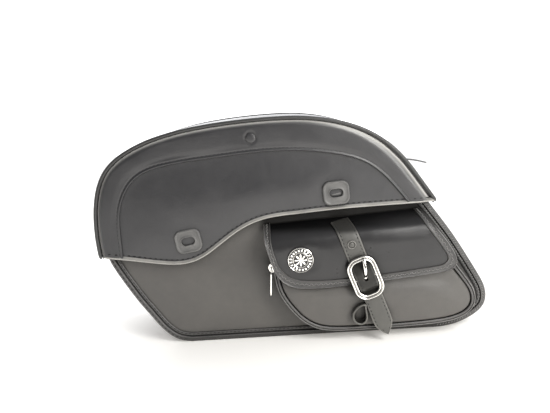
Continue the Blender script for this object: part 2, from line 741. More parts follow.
# bindings, as (inward, y) sections. Front: rolled edge, ridge, groove, inner strip
FRONT_BINDING = [
    (-0.7, -70.5), (-0.9, -73), (-1.0, -76), (-0.7, -78.6), (0.2, -79.9), (1.6, -80.5),
    (3.2, -80.6), (4.4, -80.5), (5.0, -80.9), (5.7, -81.2), (6.3, -80.9), (6.7, -80.1),
    (7.1, -78.9), (7.6, -78.5), (8.1, -78.9), (8.5, -79.6), (9.3, -79.9), (10.3, -79.7),
    (11.3, -79.6), (11.9, -79.2), (12.1, -78.3), (12.1, -77.0), (8.0, -76.2), (2.0, -75.4),
    (0.0, -74.5), (-0.02, -71)]
REAR_BINDING = [
    (-0.6, 73.5), (-0.8, 77.5), (-0.5, 80.4), (0.6, 81.4), (3.0, 81.7), (6.0, 81.6),
    (8.6, 81.5), (9.4, 80.9), (9.5, 80.0), (5.0, 78.4), (0.0, 77.0), (-0.02, 73.8)]
binding_path = BODY[BODY[:, 1] < 214.5]
for end, section in (("front", FRONT_BINDING), ("rear", REAR_BINDING)):
    make(f"box_{end}_binding", keep_above(sweep(binding_path, section), 0.02), "binding",
         body="bag", replaces=[end + "_binding"], sharp=60)

path_x, path_z = binding_path.T
left_path = binding_path[path_x < -150]
right_path = binding_path[(path_x > 190) | ((path_x > 150) & (path_z > 60))]
sew("box_stitches_front", [seam_line(offset(binding_path, 10.3), -79.7)], "bag",
    pitch=5.6, length=3.4, width=1.2)
sew("box_stitches_outer", [seam_line(offset(left_path, 2.8), -80.6)], "bag")
sew("box_stitches_right",
    [seam_line(offset(right_path, 3.6), -80.5), seam_line(offset(right_path, 8.4), -79.3)],
    "bag", pitch=3.9, length=3.0, width=1.2, height=0.7, slant=0.55, thread="thread_pale")
sew("box_stitches_rear", [seam_line(offset(binding_path, 6.5), 81.6)], "bag")

# rear panel, with its tongue up to the hinge
TONGUE = [(152, 209), (148, 212), (131, 215), (120, 226.5), (112, 234.3), (-210, 234.3),
          (-219, 226.5), (-226, 215), (-233, 210)]


def box_rear_face(points, edge):
    ripple = waves(points, 150, 0.1, seed=5) * smoothstep(edge, 4, 30)
    return 80.0 - edge_drop(edge, 1.5) + ripple


rear_edge = offset(BODY, 5.6)
rear_outline = np.vstack([rear_edge[rear_edge[:, 1] < 207], resample(TONGUE, 4.0)])
rear_outline = relax(resample(rear_outline, 3.0, closed=True), 1, True)
make("box_rear", patch(rear_outline, (-20, 115), box_rear_face, 77.55), "leather", body="bag",
     replaces=["rear_panel"])


# ---------------------------------------------------------------- the lid
def cut_at_skirt(path):
    """The run of a path above the skirt line, ending on it."""
    rise = path[:, 1] - np.interp(path[:, 0], *SKIRT.T)
    above = np.flatnonzero(rise > 0)
    first, last = above[0], above[-1]

    def crossing(i, j):
        return path[i] + (path[j] - path[i]) * (rise[i] / (rise[i] - rise[j]))

    kept = list(path[first:last + 1])
    if first > 0:
        kept.insert(0, crossing(first - 1, first))
    if last < len(path) - 1:
        kept.append(crossing(last, last + 1))
    return np.array(kept)


# border band, between the lid's edge and the seam
BAND_POINTS = 420
BAND_PARTS = np.concatenate([
    [0, 0.002, 0.006, 0.012, 0.02, 0.03, 0.042, 0.056, 0.072, 0.09, 0.11, 0.13, 0.15, 0.172],
    np.linspace(0.2, 0.78, 14),
    [0.81, 0.835, 0.86, 0.88, 0.90, 0.915, 0.93, 0.945, 0.96, 0.972, 0.984, 0.993, 1.0]])
seam = cut_at_skirt(SEAM)
band_outer = resample(cut_at_skirt(offset(LID, 4.5, -1)), count=BAND_POINTS)
band_inner = resample(seam, count=BAND_POINTS)


def band_face(parts, width, points):
    from_seam, from_edge = (1 - parts) * width, parts * width
    # folded inner edge, its ridge and the groove beside it
    height = 90.9 - 1.7 * (1 - smoothstep(from_seam, 0.0, 0.9)) + 0.65 * bell(from_seam, 1.7, 1.1)
    height = height - 0.5 * bell(from_seam, 4.3, 0.9)
    crown = np.sin(np.clip(from_edge / width, 0, 1) * math.pi) ** 0.8
    height = height + 0.8 * crown * smoothstep(from_seam, 4, 14)
    edge_radius = 7.4 + 4.0 * smoothstep(points[0, 0], 60, 150)
    height = height - roll_off(from_edge, edge_radius, edge_radius)
    ripple = waves(points, 95, 0.32, seed=9)
    height = height + ripple * smoothstep(from_edge, 3, 9) * smoothstep(from_seam, 5, 10)
    # dimple and puckers round the stud
    x, z = points[:, 0] - STUD_X, points[:, 1] - STUD_Z
    radius, angle = np.hypot(x, z), np.arctan2(z, x)
    puckers = 0.07 * np.sin(angle * 5 + 0.6) * bell(radius, 12, 4.0)
    return -(height - 0.7 * bell(radius, 6.9, 1.5) + puckers)


def band_wear(places):
    """Pale outer edge, wider towards the right."""
    width = 2.4 + 2.1 * smoothstep(places[:, 0], 20, 120)
    return 0.9 * bell(distance_to(places[:, [0, 2]], band_outer), 0, width) * (places[:, 1] < -84.2)


lid_band = make("lid_band", ribbon(band_outer, band_inner, BAND_PARTS, band_face, -84.2), "lid",
                body="lid", replaces=["lid_border_band"], sharp=70)
paint(lid_band, "wear", band_wear)


# inner panel
def lid_face(points, edge):
    from_skirt, from_seam = distance_to(points, SKIRT), distance_to(points, SEAM)
    rise = np.sin(np.clip(from_skirt / 44, 0, 1) * math.pi / 2) ** 1.1
    crown = 3.3 * smoothstep(from_seam, 0, 60) * rise
    ripple = waves(points, 130, 0.4, seed=21) * smoothstep(edge, 4, 30)
    # flatter round the locks
    for x, z, _ in LOCKS.values():
        wide_radius = np.hypot((points[:, 0] - x) / 1.05, points[:, 1] - z)
        crown = crown * (0.85 + 0.15 * smoothstep(wide_radius, 17.0, 40))
        ripple = ripple * smoothstep(np.hypot(points[:, 0] - x, points[:, 1] - z), 19, 40)
    stitch_groove = 0.5 * bell(from_skirt, 6.2, 0.9)
    return -(89.1 + crown + ripple - stitch_groove)


panel_foot = offset(SKIRT[(SKIRT[:, 0] > -222) & (SKIRT[:, 0] < 150.5)], 1.0)
panel_outline = resample(np.vstack([offset(seam, 3.0), panel_foot[::-1]]), 2.5, closed=True)
LID_RINGS = (0, 0.6, 1.2, 1.8, 2.4, 3.0, 3.6, 4.2, 4.8, 5.4, 6.2, 7.2, 8.4, 10)
make("lid_panel_skin",
     patch(panel_outline, (-60, 205), lid_face, -87.05, near=LID_RINGS, inner=70),
     "lid", body="lid", replaces=["lid_panel"])

# lower trim: the rolled edge along the skirt, as (up, y)
TRIM = [(0.8, -84.9), (0.3, -86.5), (0.0, -88.6), (0.05, -90.2), (0.4, -91.7), (1.1, -92.4),
        (1.8, -92.3), (2.4, -91.6), (3.1, -90.5), (4.2, -89.7), (5.0, -88.7), (4.0, -87.2),
        (2.6, -85.0)]
trim_path = resample(SKIRT[(SKIRT[:, 0] > -254.2) & (SKIRT[:, 0] < 186.6)], 2.5)
make("lid_lower_trim", sweep(trim_path, TRIM, taper=2), "rolled", body="lid",
     replaces=["lid_skirt_trim"], sharp=120)

# lid wall: full between the two pipings
LID_FRONT, LID_REAR = -87.6, 77.6
lid_ys = np.linspace(LID_FRONT, LID_REAR, 34)
lid_part = (lid_ys - LID_FRONT) / (LID_REAR - LID_FRONT)
fullness = -2.6 * (1 - np.abs(2 * lid_part - 1) ** 3.0)
fullness = fullness + 1.2 * bell(lid_ys, LID_FRONT, 3.0) + 1.2 * bell(lid_ys, LID_REAR, 3.0)
lid_wall = list(zip(3.0 + fullness, lid_ys)) + [(6.0, y) for y in np.linspace(76.5, -86.6, 20)]
make("lid_wall", sweep(LID, lid_wall, side=-1), "lid", body="lid", replaces=["lid_gusset"],
     sharp=60)

for end, inward, y, radius in (("front", 2.3, -88.6, 2.5), ("rear", 2.2, 78.9, 2.2)):
    make("lid_piping_" + end, sweep(LID, circle(radius, inward, y, 16), side=-1, taper=2),
         "piping", body="lid", replaces=[f"lid_{end}_piping"], sharp=180)

# rear of the lid: a panel, and a corner each side of the hinge
lid_inset = offset(LID, 4.4, -1)
inset_x, inset_z = lid_inset.T
make("lid_rear_skin",
     patch(close_outline(lid_inset[inset_z > 237.6], 5, 3.0), (-45, 262),
           lambda points, edge: 80.2 - 1.2 * edge_drop(edge, 1.6) + 0.5 * smoothstep(edge, 3, 20),
           77.1, inner=26),
     "lid", body="lid", replaces=["lid_rear_panel"])
beside_hinge = (inset_z > 216.5) & (inset_z < 240.5)
CORNERS = {
    "left": ([(-216.0, 240.2), (-222.5, 232.0), (-229.5, 221.0), (-233.0, 216.8)],
             lid_inset[(inset_x < -200) & beside_hinge]),
    "right": (lid_inset[(inset_x > 100) & beside_hinge],
              [(141.0, 216.8), (136.5, 220.5), (125.5, 232.0), (117.5, 240.2)])}
for side_name, runs in CORNERS.items():
    corner = resample(np.vstack(runs), 1.6, closed=True)
    make("lid_rear_corner_" + side_name,
         patch(corner, corner.mean(0), lambda points, edge: 79.9 - 0.9 * edge_drop(edge, 1.3),
               77.2, near=(0, 0.3, 0.8, 1.4, 2.2), inner=6), "lid", body="lid")

skirt_thread = offset(SKIRT[(SKIRT[:, 0] > -250) & (SKIRT[:, 0] < 182)], 6.2)
thread_x = skirt_thread[:, 0]
sew("lid_stitches",
    [seam_line(skirt_thread[thread_x < -228], -91.6),
     seam_line(skirt_thread[(thread_x > -222) & (thread_x < 150)], -89.35),
     seam_line(skirt_thread[thread_x > 154], -91.6)],
    "lid", pitch=7.0, length=3.3, width=1.5, height=0.5)
sew("lid_seam_stitches", [seam_line(offset(seam, 4.3), -90.5)], "lid",
    pitch=5.2, length=3.0, width=1.0, height=0.4, thread="thread_mid")

STUD = [(5.9, -1.5), (5.9, 1.0), (5.6, 1.55), (5.0, 1.85), (4.0, 2.0), (2.6, 2.1), (0.05, 2.15)]
make("lid_cover_stud", lathe(STUD, (STUD_X, -91.0, STUD_Z)), "lid", body="lid",
     replaces=["lid_stud"], sharp=40)

# lock plates: raised rim, dished face, lipped slot and a well
PLATE_SIDES = 160
# inset from the plate's outline, distance in front of y = 0
PLATE_RIM = [(0.0, 89.0), (0.0, 92.4), (0.25, 93.3), (0.8, 93.9), (1.6, 94.15), (2.3, 94.0),
             (3.0, 93.5), (3.8, 93.2)]
# distance outside the slot, distance in front of y = 0
SLOT_LIP = [(2.2, 93.2), (1.6, 93.6), (0.9, 94.0), (0.3, 93.9), (0.0, 93.0), (0.0, 91.3)]


def by_angle(outline):
    """Outline resampled at even angles about the origin."""
    outline = resample(outline, count=120, closed=True)
    angles = np.arctan2(outline[:, 1], outline[:, 0])
    order = np.argsort(angles)
    angles = angles[order]
    radii = lengths(outline)[order]
    angles = np.concatenate([angles - 2 * math.pi, angles, angles + 2 * math.pi])
    even = np.linspace(-math.pi, math.pi, PLATE_SIDES, endpoint=False)
    reach = np.interp(even, angles, np.tile(radii, 3))
    return np.stack([reach * np.cos(even), reach * np.sin(even)], axis=1)


def lock_plate(x, z, tilt):
    plate = by_angle(rounded_rect(34.5, 31.0, 9.5, 15))
    slot = by_angle(rounded_rect(17.8, 10.6, 5.28, 15))
    dish = draw_in(plate, PLATE_RIM[-1][0])
    lip = draw_in(slot, -SLOT_LIP[0][0])
    well = slot / lengths(slot)[:, None] * 9.5
    rings = [(draw_in(plate, inset), height) for inset, height in PLATE_RIM]
    rings += [(dish + (lip - dish) * part, 93.15 + 0.1 * part) for part in (0.25, 0.5, 0.75)]
    rings += [(draw_in(slot, -outset), height) for outset, height in SLOT_LIP]
    rings += [(well, 91.25), (well, 89.0)]
    cosine, sine = math.cos(math.radians(tilt)), math.sin(math.radians(tilt))
    verts = np.vstack([xyz(ring[:, 0] * cosine - ring[:, 1] * sine + x, -height,
                           ring[:, 0] * sine + ring[:, 1] * cosine + z)
                       for ring, height in rings])
    faces = grid_faces(len(rings), PLATE_SIDES, False, True)
    last = (len(rings) - 1) * PLATE_SIDES
    for i in range(PLATE_SIDES):    # close behind
        beside = (i + 1) % PLATE_SIDES
        faces.append((last + i, last + beside, beside, i))
    return verts, faces


for side_name, (x, z, tilt) in LOCKS.items():
    make("lock_plate_" + side_name, lock_plate(x, z, tilt), "plastic", body="lid",
         replaces=["lock_plates"] if side_name == "left" else (), sharp=50)

# ---------------------------------------------------------------- outer pocket
ZIP_RIGHT = (203.4, 104.0)
# (inward, y)
POCKET_WALL = [(0.6, -77.7), (-0.5, -80), (-0.9, -86), (-0.9, -94), (-0.7, -100), (-0.2, -103.9),
               (2.6, -103.9), (2.5, -90), (2.4, -77.7)]
POCKET_RIM = [(-1.1, -102.2), (-1.3, -104.6), (-0.9, -106.0), (-0.2, -106.5), (0.5, -106.2),
              (0.9, -105.2), (1.0, -103.4), (0.4, -102.4)]
POCKET_RINGS = (0, 0.1, 0.3, 0.7, 1.2, 1.9, 2.8, 4.0, 5.5, 7.5, 10)


def pocket_face(points, edge):
    """Swollen below, flat under the flap."""
    fade = 1 - smoothstep(points[:, 1], 60, 88)
    swell = 4.2 * smoothstep(edge, 0, 46) * fade
    swell += waves(points, 110, 0.35, seed=31) * smoothstep(edge, 5, 30) * fade
    lower = 1 - smoothstep(points[:, 1], 70, 92)
    return -(106.3 + (0.9 + swell) * lower - roll_off(edge, 5.0, 2.8))


make("pocket_wall", sweep(run_between(POCKET, (-27.1, 98.0), ZIP_RIGHT), POCKET_WALL),
     "leather", body="bag", replaces=["pocket_gusset"], sharp=60)
pocket_outline = resample(offset(POCKET, 5.2, closed=True), 2.5, closed=True)
top_left = (pocket_outline[:, 0] < -18) & (pocket_outline[:, 1] > 119)
pocket_outline = resample(relax(pocket_outline[~top_left], 3, True), 2.5, closed=True)
make("pocket_front",
     patch(pocket_outline, (100, 70), pocket_face, -103.6, near=POCKET_RINGS, inner=45),
     "panel", body="bag", replaces=["pocket_front_panel"])
# piping: an inner cord and an outer rim
make("pocket_cord", sweep(POCKET, circle(1.7, 3.0, -105.6, 16), closed=True), "binding",
     body="bag", replaces=["pocket_piping"], sharp=180)
make("pocket_rim", sweep(POCKET, POCKET_RIM, closed=True), "binding", body="bag", sharp=70)

# ---------------------------------------------------------------- flap
# One leather, from the box over the shoulder and down the front.
# Its side view as (y, z), first the shoulder, then the front
SHOULDER = [(-77.8, 164.5), (-83.0, 162.7), (-90.0, 159.8), (-98.0, 155.6), (-104.6, 150.8),
            (FLAP_FOLD_Y, FLAP_FOLD_Z)]
FLAP_FRONT = [(-110.9, 143.0), (-111.6, 139.4), (-111.8, 135.5), (-111.85, 130.0), (-111.9, 120),
              (-111.9, 110), (-111.9, 100), (-111.85, 90), (-111.8, 82), (-111.8, 70), (-111.8, 58)]
FLAP_LINE = resample(relax(resample(catmull(SHOULDER + FLAP_FRONT), 1.0), 60), 0.5)
FLAP_RUN = run_along(FLAP_LINE)
FLAP_NORMALS = normals(FLAP_LINE, -1)


def z_of_run(run):
    return np.interp(run, FLAP_RUN, FLAP_LINE[:, 1])


def run_of_z(z):
    return np.interp(-z, -FLAP_LINE[:, 1], FLAP_RUN)


def flap_rise(x):
    return FLAP_SLOPE * (x - FLAP_SLOPE_X)


def flap_surface(x, up, height):
    """Placement on the flap: up is minus the run down it, height stands off its face."""
    run = -up
    y = np.interp(run, FLAP_RUN, FLAP_LINE[:, 0])
    z = z_of_run(run) - np.clip(run - FLAP_RUN[-1], 0, None)
    normal_y = np.interp(run, FLAP_RUN, FLAP_NORMALS[:, 0])
    normal_z = np.interp(run, FLAP_RUN, FLAP_NORMALS[:, 1])
    return xyz(x, y + normal_y * height, z + normal_z * height + flap_rise(x))


# outer and inner edges of the flap's binding, (x, z) from top left round to top right
FLAP_OUTER = [
    (-39.0, 163), (-39.0, 152), (-38.4, 141), (-35.0, 127.4), (-28.6, 104.5), (-23.6, 95.2),
    (-17.8, 88.4), (-9.3, 82.3), (1.7, 78.8), (20.4, 77.2), (42.9, 77.5), (63, 78.8),
    (115.8, 82.6), (155.4, 86.3), (190, 89.7), (200.5, 92.3), (207, 97.5), (208, 104.5),
    (204.8, 114.5), (200.2, 122.5), (192.6, 134.3), (184.3, 145.5), (178.5, 153.0),
    (173.5, 160.5), (168, 168.5)]
FLAP_INNER = [
    (-29.8, 163), (-29.8, 152), (-29.6, 141), (-27.4, 129.4), (-21.6, 111.0), (-15.6, 102.2),
    (-8.6, 95.6), (0, 91.4), (9.8, 89.4), (28.4, 88.2), (45, 88.0), (63.4, 88.8), (116, 92.0),
    (158, 96.2), (184, 98.9), (192.6, 101.9), (196.0, 106.8), (194.6, 112.6), (189.6, 121.2),
    (182.4, 132.4), (174.0, 144.0), (168.4, 152.0), (164.2, 160.0), (158.6, 168.5)]


def flap_outline(points):
    """Front outline in the flap's (x, up), cut off at the top of the shoulder."""
    x, z = catmull(points).T
    level = z - flap_rise(x)
    kept = level < 164.0
    unrolled = np.stack([x[kept], -run_of_z(level[kept])], axis=1)
    return resample(relax(resample(unrolled, 2.0), 2), count=360)


def pair(outer, inner):
    """Inner points matched in order to near outer ones, so that strips stay square."""
    parts = np.linspace(0, 1, len(inner))
    best = []
    for part, point in zip(np.linspace(0, 1, len(outer)), outer):
        penalty = np.abs(parts - part) * 120
        best.append(np.argmin(lengths(inner - point) + penalty))
    best = np.maximum.accumulate(np.array(best)).astype(float)
    best = relax(best[:, None], 30)[:, 0]
    best[0], best[-1] = 0, len(inner) - 1
    places = np.clip(best, 0, len(inner) - 1)
    return np.stack([np.interp(places, np.arange(len(inner)), column) for column in inner.T],
                    axis=1)


BADGE_X, BADGE_Y, BADGE_Z = 6.8, -111.9, 116.8
flap_outer = flap_outline(FLAP_OUTER)
flap_inner = pair(flap_outer, flap_outline(FLAP_INNER))
fold_run = run_of_z(FLAP_FOLD_Z)


def flap_face(points, edge):
    run = -points[:, 1]
    height = 0.25 + 0.9 * smoothstep(edge, 4, 22) * smoothstep(run, fold_run, fold_run + 18)
    stretched = np.stack([points[:, 0], points[:, 1] * 2.2], 1)
    height += waves(stretched, 120, 0.28, seed=41) * smoothstep(edge, 5, 25)
    # pressed flat under the strap and the badge
    from_strap = np.abs((points[:, 0] - 70.5) - (z_of_run(run) - 142) * -0.35)
    height = height * smoothstep(from_strap, 9, 30) * 0.8 + height * 0.2
    level = z_of_run(run) + flap_rise(points[:, 0])
    from_badge = np.hypot(points[:, 0] - BADGE_X, level - BADGE_Z)
    return height * smoothstep(from_badge, 15, 30)


skin_outline = close_outline(flap_outer + (flap_inner - flap_outer) * 0.35, 3.0, 2.5)
flap_skin = make(
    "flap_skin",
    patch(skin_outline, (80, -(fold_run + 12)), flap_face, -2.2,
          near=(0, 0.5, 1, 2, 3, 4, 5.5, 7.5, 10), inner=60, place=flap_surface),
    "flap", replaces=["flap_panel", "pocket_shoulder"])

BINDING_PARTS = [0, 0.012, 0.04, 0.08, 0.13, 0.2, 0.28, 0.36, 0.44, 0.5, 0.56, 0.64, 0.72, 0.8,
                 0.87, 0.92, 0.96, 0.988, 1.0]


def flap_binding_face(parts, width, points):
    """A ridge along each edge and a groove along the middle."""
    edge = np.minimum(parts, 1 - parts) * width
    height = 1.25 + 0.95 * bell(edge, 0.9, 0.55) - 1.0 * (1 - smoothstep(edge, 0, 0.6))
    return height - 0.35 * bell((parts - 0.5) * width, 0, 1.5)


flap_edge = make(
    "flap_edge_binding",
    ribbon(flap_outer, flap_inner, BINDING_PARTS, flap_binding_face, -0.4, place=flap_surface),
    "binding", replaces=["flap_binding", "shoulder_binding"], sharp=70)
# turned edge, down the flap's thickness
flap_turn = make(
    "flap_edge_turn",
    sweep(flap_outer, rounded_box(0.0, 1.5, -2.6, 1.0, 0.6, 3), place=flap_surface),
    "edge", sharp=70)


def zigzag():
    """Zigzag stitches along the middle of the flap's binding."""
    middle = resample(flap_outer + (flap_inner - flap_outer) * 0.5, 3.1)
    swing = np.where(np.arange(len(middle)) % 2 == 0, 1.1, -1.1)
    corners = middle + normals(middle) * swing[:, None]
    points = flap_surface(*corners.T, 1.0)
    ups = flap_surface(*corners.T, 2.0) - points
    stitch, stitch_faces = stitch_shape(length=3.6, width=1.15, height=0.7)
    parts = []
    for start, end, up in zip(points, points[1:], ups):
        ahead = (end - start) / np.linalg.norm(end - start)
        up = up / np.linalg.norm(up)
        axes = np.array([ahead, np.cross(up, ahead), up])
        parts.append(((start + end) / 2 + stitch @ axes, stitch_faces))
    return merge(parts)


flap_zigzag = make("flap_edge_stitches", zigzag(), "thread_pale", sharp=180, outward=False)

# ---------------------------------------------------------------- strap
# Strap frame: across and along (up) from the bar's middle, tilted by STRAP_TILT
STRAP_COS, STRAP_SIN = math.cos(STRAP_TILT), math.sin(STRAP_TILT)
STRAP_HALF = 12.5
STITCH_ACROSS = 9.4
# the strap's inner face below the fold, as (along, y)
STRAP_LINE = resample(relax(resample(catmull([
    (40.0, -112.0), (34.0, -112.0), (29.0, -112.0), (24.5, -112.05), (20.5, -112.6),
    (16.2, -115.7), (12.2, -119.2), (8.2, -121.1), (3.6, -121.0), (0.0, -120.2),
    (-3.6, -120.4), (-8.0, -120.6), (-12.2, -118.6), (-16.2, -115.5), (-20.5, -112.8),
    (-24.5, -112.1), (-30.0, -112.0), (-35.0, -112.0), (-40.0, -112.05), (-46.0, -112.4),
    (-52.0, -113.2), (-58.0, -114.2), (-64.0, -115.0), (-72.0, -115.6), (-80.0, -115.8),
    (-88.0, -115.8)]), 1.0), 4), 1.2)
# distance below the bar, half width
STRAP_TAPER = np.array([(-84, STRAP_HALF), (60, STRAP_HALF), (68, 11.9), (74, 9.0), (79, 5.4),
                        (82, 2.6), (84.3, 0.6)])


def strap_xyz(across, along, y):
    return xyz(BAR_X + across * STRAP_COS - along * STRAP_SIN, y,
               BAR_Z + across * STRAP_SIN + along * STRAP_COS)


def strap_surface(along, across, height):
    """Points at a height over the strap's inner face: on STRAP_LINE, and on the flap above it."""
    stations = -STRAP_LINE[:, 0]
    y = np.interp(-along, stations, STRAP_LINE[:, 1])
    i = np.clip(np.searchsorted(stations, -along), 1, len(STRAP_LINE) - 2)
    ahead = STRAP_LINE[i + 1] - STRAP_LINE[i - 1]
    ahead = ahead / lengths(ahead)[:, None]
    lower = strap_xyz(across, along - ahead[:, 1] * height, y + ahead[:, 0] * height)
    # on the flap, found by z on its front and by run past the fold
    front_z = 140.0
    x, _, z = strap_xyz(across, along, 0.0).T
    run = run_of_z(front_z) + (front_z - (z - flap_rise(x)))
    upper = flap_surface(x, -run, height + 0.25)
    on_flap = smoothstep(along, 38, 44)[:, None]
    return lower * (1 - on_flap) + upper * on_flap


def strap_half(along):
    return np.interp(-along, *STRAP_TAPER.T)


def strap_shape():
    stations = np.concatenate([np.linspace(84, 30, 60), np.linspace(29, -30, 70),
                               np.linspace(-31, -84.3, 70)])
    fractions = np.array([-1, -0.97, -0.9, -0.78, -0.6, -0.4, -0.2, 0,
                          0.2, 0.4, 0.6, 0.78, 0.9, 0.97, 1])
    rows, columns = len(stations), len(fractions)
    along = np.repeat(stations, columns)
    part = np.tile(fractions, rows)
    half = strap_half(along)
    edge = (1 - np.abs(part)) * half
    # rounded edges, grooves under the stitches and a slight crown
    top = 2.3 - edge_drop(edge, 1.1) - 0.45 * bell(edge, 3.0, 0.8) + 0.25 * (1 - part * part)
    bottom = 0.3 * np.maximum(0, 1 - (1 - np.abs(part)) * 12 / 1.1)
    upper, lower = (strap_surface(along, part * half, height).reshape(rows, columns, 3)
                    for height in (top, bottom))
    verts = np.concatenate([upper, lower[:, ::-1]], axis=1).reshape(-1, 3)
    return verts, tube_faces(rows, 2 * columns)


def cut_prong_slot(strap):
    lean = 0.25
    turned = [[math.cos(lean), -math.sin(lean)], [math.sin(lean), math.cos(lean)]]
    slot = rounded_rect(5.6, 13.4, 2.7, 8) @ np.array(turned) + np.array([0.9, 3.1])
    cutter = make("cutter", tube([strap_xyz(*slot.T, y) for y in (-116.0, -128.0)]), "strap",
                  sharp=180)
    cut = strap.modifiers.new("slot", "BOOLEAN")
    cut.object, cut.operation, cut.solver = cutter, "DIFFERENCE", "EXACT"
    evaluated = strap.evaluated_get(bpy.context.evaluated_depsgraph_get())
    mesh = bpy.data.meshes.new_from_object(evaluated)
    strap.modifiers.clear()
    strap.data = mesh
    bpy.data.objects.remove(cutter)
    mesh.materials.clear()
    mesh.materials.append(MATERIALS["strap"])


strap = make("flap_strap_leather", strap_shape(), "strap", replaces=["flap_strap", "strap_root"],
             sharp=60)
cut_prong_slot(strap)


def strap_thread(along, across, height):
    points = strap_surface(along, across, height)
    up = strap_surface(along, across, height + 1.0) - points
    return points, up / lengths(up)[:, None]


def strap_row(side, start, end):
    """Stitch line down one side of the strap, following its taper."""
    along = np.arange(start, end, -1.2)
    from_edge = STRAP_HALF - STITCH_ACROSS
    return strap_thread(along, side * np.maximum(strap_half(along) - from_edge, 0.2), 2.0)


strap_rows = [strap_row(side, start, end)
              for start, end in ((82, 27), (22, -22), (-34, -79)) for side in (-1, 1)]
cross_row = strap_thread(np.full(20, 33.6), np.linspace(-STITCH_ACROSS, STITCH_ACROSS, 20), 2.25)
strap_stitches = sew("flap_strap_stitches", strap_rows + [cross_row],
                     pitch=4.8, length=3.0, width=1.35, height=0.45)
RIVET = [(5.6, -0.6), (5.6, 0.5), (5.3, 1.1), (4.7, 1.25), (4.2, 1.0), (3.9, 0.45), (3.5, 0.4),
         (3.2, 0.8), (2.6, 1.2), (1.5, 1.35), (0.05, 1.4)]
make("strap_rivet_cap", lathe(RIVET, (72.7, -114.4, 133.4)), "strap", body="flap",
     replaces=["strap_rivet"], sharp=40)

# buckle: a cast ring with two ridges and a dark groove, as (inward, height), and its bar
BUCKLE = [(-0.1, 0.9), (0.0, 2.0), (0.35, 2.9), (0.95, 3.4), (1.6, 3.35), (2.1, 2.8), (2.5, 1.9),
          (2.9, 1.35), (3.4, 1.35), (3.8, 1.8), (4.2, 2.5), (4.8, 2.9), (5.5, 2.75), (6.1, 2.1),
          (6.4, 1.0), (6.4, -0.6), (6.0, -1.9), (5.0, -2.7), (3.4, -2.95), (1.8, -2.9),
          (0.7, -2.4), (0.1, -1.2)]
BUCKLE_GROOVE = [(2.15, 2.4), (2.5, 1.95), (2.9, 1.6), (3.4, 1.6), (3.75, 1.95), (4.05, 2.4),
                 (3.6, 1.0), (2.6, 1.0)]
buckle_path = relax(resample(rounded_rect(38.8, 57.8, 15.6, 14), count=180, closed=True), 4, True)


def buckle_place(across, along, height):
    return strap_xyz(across, along, BAR_Y - height)


bar_section = circle(1.6, 0, 0, 14)
bar = tube([strap_xyz(across, bar_section[:, 0], BAR_Y + bar_section[:, 1])
            for across in np.linspace(-16.5, 16.5, 12)])
make("buckle_frame_groove", sweep(buckle_path, BUCKLE_GROOVE, closed=True, place=buckle_place),
     "dark_chrome", body="flap", sharp=60)
make("buckle_frame_cast",
     merge([sweep(buckle_path, BUCKLE, closed=True, place=buckle_place), bar]),
     "chrome", body="flap", replaces=["buckle_frame"], sharp=60)

# middle line of the pin, as (along, y)
PIN = [(1.2, -119.0), (2.6, -120.2), (4.4, -121.8), (6.6, -123.6), (9.6, -124.8), (14.0, -124.8),
       (19.0, -124.0), (22.0, -123.3), (24.4, -122.9), (25.8, -122.7)]


def buckle_pin():
    """A bowed, tapering pin that leans to one side, and its eye round the bar."""
    lean = 0.257    # across per along
    line = resample(catmull(PIN), 0.8)
    last = len(line) - 1
    end_scales = {0: 0.35, last - 1: 0.8, last: 0.35}
    angles = turn(14)
    rings = []
    for i, (point, ahead) in enumerate(zip(line, tangents(line))):
        scale = end_scales.get(i, 1.0)
        half_width = (2.1 - 0.1 * i / last) * scale
        half_depth = (1.6 - 0.2 * i / last) * scale
        normal = np.array([ahead[1], -ahead[0]])
        spots = point + normal * (half_depth * np.sin(angles))[:, None]
        rings.append(strap_xyz(half_width * np.cos(angles) + lean * point[0], *spots.T))
    radii, across = rounded_box(1.66, 3.1, -1.7, 1.7, 0.5, 3).T
    eye = [strap_xyz(across, radii * math.cos(a), BAR_Y + radii * math.sin(a)) for a in turn(32)]
    return merge([tube(rings), tube(eye, closed=True)])


make("buckle_pin", buckle_pin(), "chrome", body="prong", replaces=["buckle_prong"],
     sharp=60)

# keeper loop, (x, z)
KEEPER = [(88.6, 52.4), (83.0, 53.0), (76.0, 48.6), (71.0, 41.4), (71.0, 33.4), (75.4, 27.2),
          (81.6, 25.2), (87.4, 28.0), (90.2, 34.5), (89.8, 42.0), (89.0, 48.5)]
keeper_path = resample(catmull(KEEPER, closed=True), 1.2, closed=True)
make("keeper_loop_leather",
     sweep(keeper_path, rounded_box(0.0, 2.3, -117.4, -108.6, 0.9, 4), closed=True),
     "strap", body="flap", replaces=["keeper_loop"], sharp=70)

# ---------------------------------------------------------------- round badge
# a dark disc with a ring of bars between two wires, round an eight-petal flower
BADGE_DISC = [(17.0, 0.0), (17.1, 0.8), (16.8, 1.3), (16.2, 1.5), (15.6, 1.4), (15.2, 1.15),
              (14.0, 1.1), (9.0, 1.15), (4.0, 1.3), (0.05, 1.35)]
RELIEF_BASE = 0.9
# radius, angle from the middle of a bar or petal
BADGE_BAR = [(11.0, -0.095), (11.0, 0.095), (14.6, 0.095 * 0.9), (14.6, -0.095 * 0.9)]
PETAL = [(1.6, -0.3), (4.6, -0.26), (7.2, -0.17), (8.6, 0), (7.2, 0.17), (4.6, 0.26), (1.6, 0.3)]


